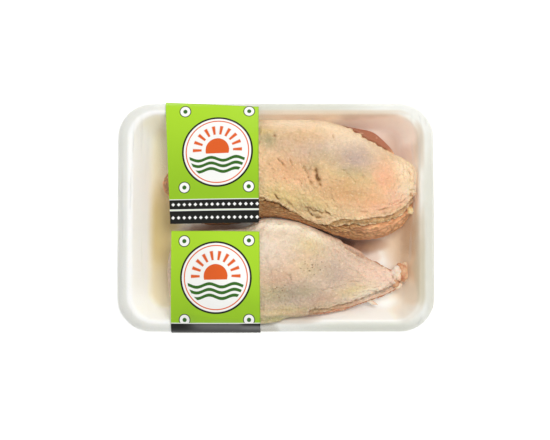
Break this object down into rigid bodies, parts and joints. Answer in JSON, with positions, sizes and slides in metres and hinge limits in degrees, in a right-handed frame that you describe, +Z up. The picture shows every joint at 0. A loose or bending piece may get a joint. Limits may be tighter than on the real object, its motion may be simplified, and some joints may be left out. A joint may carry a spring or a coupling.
{
  "type": "chicken breast tray pack",
  "caption": "Raw skin-on chicken breasts on a white foam tray, sealed in clear stretch film with a green printed panel over each breast.",
  "frame": {"origin": "middle of the pack's underside, at the height it rests on", "axes": "+X along the tray's length, to the right seen from the front; +Y to the back edge; +Z up"},
  "size_m": [0.2302, 0.1673, 0.0518],
  "materials": {
    "foam": "soft white expanded foam with a faint sheen",
    "chicken": "moist raw skin over pink flesh, semi-gloss",
    "film": "clear, glossy stretch film",
    "print": "lime-green gloss print with black bands"
  },
  "bodies": {
    "root": {"tray": "foam", "breast_back": "chicken", "breast_front": "chicken", "film": "film", "panel_back": "print", "panel_front": "print"}
  },
  "joints": []
}
